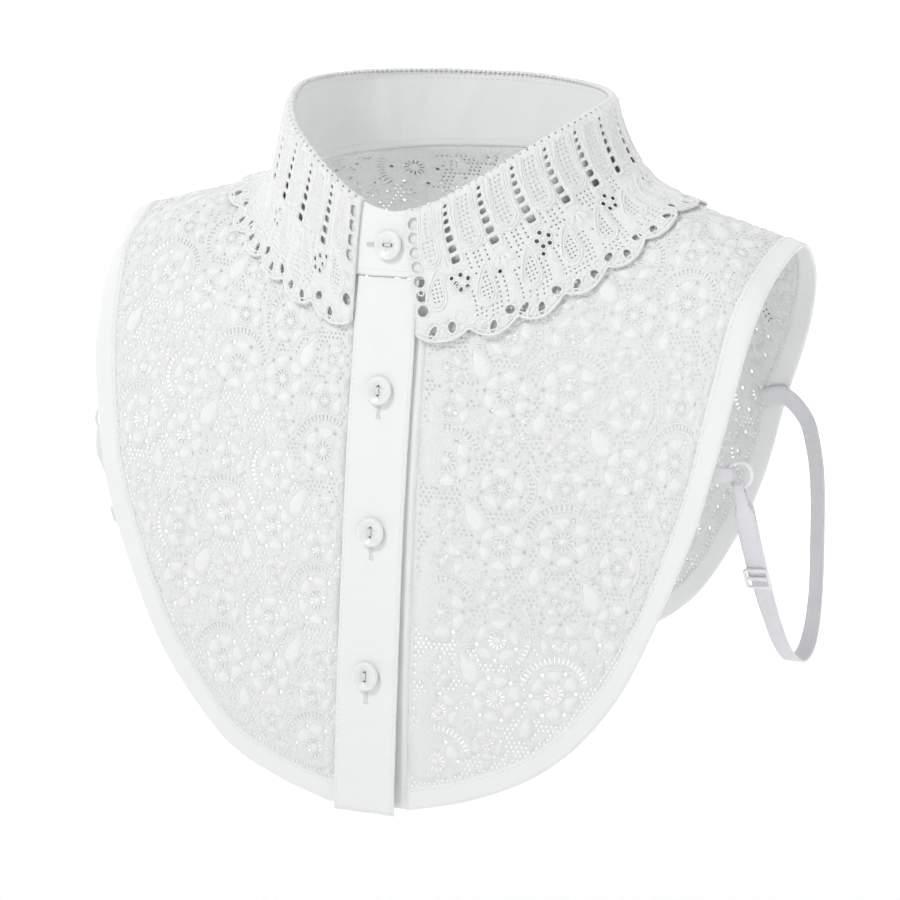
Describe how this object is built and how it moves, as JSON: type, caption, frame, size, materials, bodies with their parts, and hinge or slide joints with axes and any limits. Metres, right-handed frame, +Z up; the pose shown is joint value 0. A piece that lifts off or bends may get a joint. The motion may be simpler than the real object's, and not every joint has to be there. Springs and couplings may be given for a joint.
{
  "type": "detachable lace shirt collar",
  "caption": "Detachable lace shirt collar with front and back bib, buttoned placket, folded openwork collar and elastic side straps, in its worn form.",
  "frame": {"origin": "middle of the neck, level with the top of the shoulder slope, where the wearer's neck and shoulders hold the collar up", "axes": "+Z up along the wearer's neck, +X to the wearer's left, -Y the way the wearer faces"},
  "size_m": [0.317, 0.1605, 0.2966],
  "materials": {
    "corded_lace": "matt white corded lace, open net between raised cotton motifs",
    "guipure_lace": "matt white guipure lace, dense corded motifs with openings",
    "cotton_poplin": "matt white cotton poplin",
    "elastic_webbing": "white knitted elastic webbing",
    "moulded_plastic": "white moulded plastic, soft gloss",
    "shirt_button": "white polyester shirt button, soft gloss"
  },
  "bodies": {
    "root": {"lace_front_left": "corded_lace", "lace_front_right": "corded_lace", "lace_back": "corded_lace", "binding_front_left": "cotton_poplin", "binding_front_right": "cotton_poplin", "binding_back": "cotton_poplin", "placket_top": "cotton_poplin", "placket_under": "cotton_poplin", "collar_stand": "cotton_poplin", "collar_leaf_left": "guipure_lace", "collar_leaf_right": "guipure_lace", "button_1": "shirt_button", "button_2": "shirt_button", "button_3": "shirt_button", "button_4": "shirt_button", "strap_left": "elastic_webbing", "strap_right": "elastic_webbing", "tab_left": "elastic_webbing", "tab_right": "elastic_webbing", "ring_left": "moulded_plastic", "ring_right": "moulded_plastic", "slider_left": "moulded_plastic", "slider_right": "moulded_plastic"}
  },
  "joints": []
}
